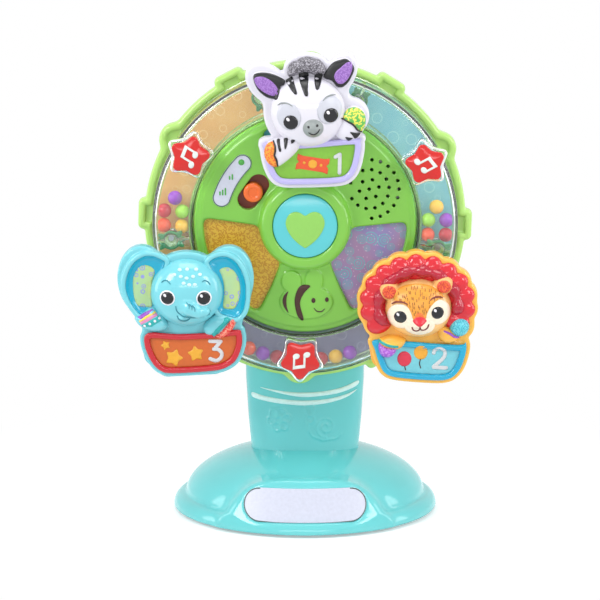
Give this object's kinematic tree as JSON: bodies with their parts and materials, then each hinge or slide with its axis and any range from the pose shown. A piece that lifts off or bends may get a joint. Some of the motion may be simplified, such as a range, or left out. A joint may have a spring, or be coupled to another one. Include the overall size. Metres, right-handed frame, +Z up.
{
  "type": "baby spinner toy",
  "caption": "Tabletop toy wheel for a baby: a suction base, a fixed hub with a heart button, and a turning ring with bead channels and hanging animal gondolas.",
  "frame": {"origin": "on the table under the middle of the round base, in the plane of the suction cup's rim", "axes": "+Z up, -Y towards the toy's front (the animals' faces), +X to the right seen from the front"},
  "size_m": [0.2243, 0.168, 0.3057],
  "materials": {
    "turquoise": "gloss",
    "turquoise_dark": "satin",
    "cup_rubber": "satin",
    "white_plastic": "satin",
    "screw_steel": "satin",
    "label_paper": "satin",
    "cell_wrap": "gloss",
    "contact_steel": "satin",
    "board_green": "satin",
    "hub_green": "gloss",
    "sticker_orange": "satin",
    "sticker_purple": "satin",
    "sticker_blue": "satin",
    "knob_orange": "gloss",
    "button_blue": "gloss",
    "heart_green": "gloss",
    "rim_lime": "gloss",
    "clear_cover": "gloss",
    "channel_prints": "satin",
    "star_red": "gloss",
    "note_white": "satin",
    "leaf_green": "satin",
    "bead_mixed": "gloss",
    "zebra_white": "gloss",
    "zebra_black": "gloss",
    "basket_lilac": "gloss",
    "panel_green": "satin",
    "lion_yellow": "gloss",
    "lion_tan": "gloss",
    "mane_red": "gloss",
    "basket_blue": "gloss",
    "panel_blue": "satin",
    "elephant_aqua": "gloss",
    "ear_blue": "gloss",
    "basket_red": "gloss",
    "panel_orange": "satin"
  },
  "bodies": {
    "stand": {"base_shell": "turquoise", "base_bottom_plate": "turquoise_dark", "suction_cup": "cup_rubber", "cup_retainer": "white_plastic", "base_screws": "screw_steel", "base_label": "label_paper", "column_front": "turquoise", "column_back": "turquoise", "back_housing": "turquoise", "battery_door": "turquoise", "battery_door_screw": "screw_steel", "batteries": "cell_wrap", "battery_contacts": "contact_steel", "spindle": "white_plastic", "hub_screws": "screw_steel", "hub_front": "hub_green", "left_sticker": "sticker_orange", "right_sticker": "sticker_purple", "top_sticker": "sticker_blue", "switch_label": "label_paper", "slide_switch": "white_plastic", "speaker": "contact_steel", "circuit_board": "board_green", "button_cushion": "cup_rubber"},
    "switch": {"switch_knob": "knob_orange"},
    "button": {"heart_button": "button_blue", "heart_lens": "heart_green"},
    "wheel": {"wheel_back_ring": "rim_lime", "wheel_clear_cover": "clear_cover", "channel_stickers": "channel_prints", "star_badges": "star_red", "star_notes": "note_white", "leaf_sprigs": "leaf_green", "wheel_screws": "screw_steel", "gondola_pins": "white_plastic"},
    "left_beads": {"beads_left": "bead_mixed"},
    "right_beads": {"beads_right": "bead_mixed"},
    "bottom_beads": {"beads_bottom": "bead_mixed"},
    "zebra_gondola": {"zebra_back_shell": "zebra_white", "zebra_front_shell": "zebra_white", "zebra_head": "zebra_white", "zebra_ears": "zebra_black", "zebra_arms": "zebra_white", "zebra_basket": "basket_lilac", "zebra_panel": "panel_green"},
    "lion_gondola": {"lion_back_shell": "lion_yellow", "lion_front_shell": "lion_yellow", "lion_head": "lion_tan", "lion_mane": "mane_red", "lion_arms": "lion_tan", "lion_basket": "basket_blue", "lion_panel": "panel_blue"},
    "elephant_gondola": {"elephant_back_shell": "elephant_aqua", "elephant_front_shell": "elephant_aqua", "elephant_head": "elephant_aqua", "elephant_ears": "ear_blue", "elephant_arms": "elephant_aqua", "elephant_basket": "basket_red", "elephant_panel": "panel_orange"}
  },
  "joints": [
    {"name": "wheel_spin", "type": "hinge", "parent": "stand", "child": "wheel", "pos_m": [0, -0.03, 0.192], "axis": [0, -1, 0], "continuous": true},
    {"name": "zebra_swing", "type": "hinge", "parent": "wheel", "child": "zebra_gondola", "pos_m": [0.00289, -0.06, 0.27465], "axis": [0, -1, 0], "continuous": true},
    {"name": "lion_swing", "type": "hinge", "parent": "wheel", "child": "lion_gondola", "pos_m": [0.07013, -0.06, 0.14818], "axis": [0, -1, 0], "continuous": true},
    {"name": "elephant_swing", "type": "hinge", "parent": "wheel", "child": "elephant_gondola", "pos_m": [-0.07302, -0.06, 0.15318], "axis": [0, -1, 0], "continuous": true},
    {"name": "left_beads_roll", "type": "hinge", "parent": "wheel", "child": "left_beads", "pos_m": [0, -0.03, 0.192], "axis": [0, -1, 0], "range_deg": [-53, 0]},
    {"name": "right_beads_roll", "type": "hinge", "parent": "wheel", "child": "right_beads", "pos_m": [0, -0.03, 0.192], "axis": [0, -1, 0], "range_deg": [0, 53]},
    {"name": "bottom_beads_roll", "type": "hinge", "parent": "wheel", "child": "bottom_beads", "pos_m": [0, -0.03, 0.192], "axis": [0, -1, 0], "range_deg": [-11, 11]},
    {"name": "heart_button_press", "type": "slide", "parent": "stand", "child": "button", "axis": [0, 1, 0], "range_m": [0, 0.002], "stiffness_N_per_m": 350},
    {"name": "switch_slide", "type": "slide", "parent": "stand", "child": "switch", "axis": [0.5807, 0, 0.8141], "range_m": [-0.0055, 0.006]}
  ]
}
